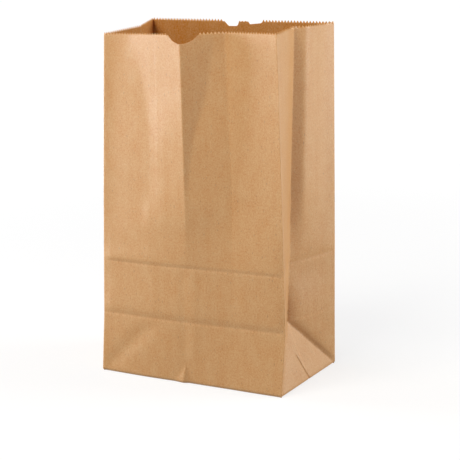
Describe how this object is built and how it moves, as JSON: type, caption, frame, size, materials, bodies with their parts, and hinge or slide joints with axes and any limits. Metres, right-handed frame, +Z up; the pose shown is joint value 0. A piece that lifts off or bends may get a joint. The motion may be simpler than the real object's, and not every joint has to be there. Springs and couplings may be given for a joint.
{
  "type": "paper lunch bag",
  "caption": "Open-topped brown kraft paper lunch bag with a flat folded bottom, gusseted sides, a pinked rim and a thumb notch; stands open to hold food.",
  "frame": {"origin": "middle of the underside, on the surface the bag stands on", "axes": "+Z up to the open rim, +X along the wide panels, -Y out of the front panel with the thumb notch"},
  "size_m": [0.1558, 0.0994, 0.2606],
  "materials": {
    "kraft": "matte"
  },
  "bodies": {
    "root": {"paper_bag": "kraft"}
  },
  "joints": []
}
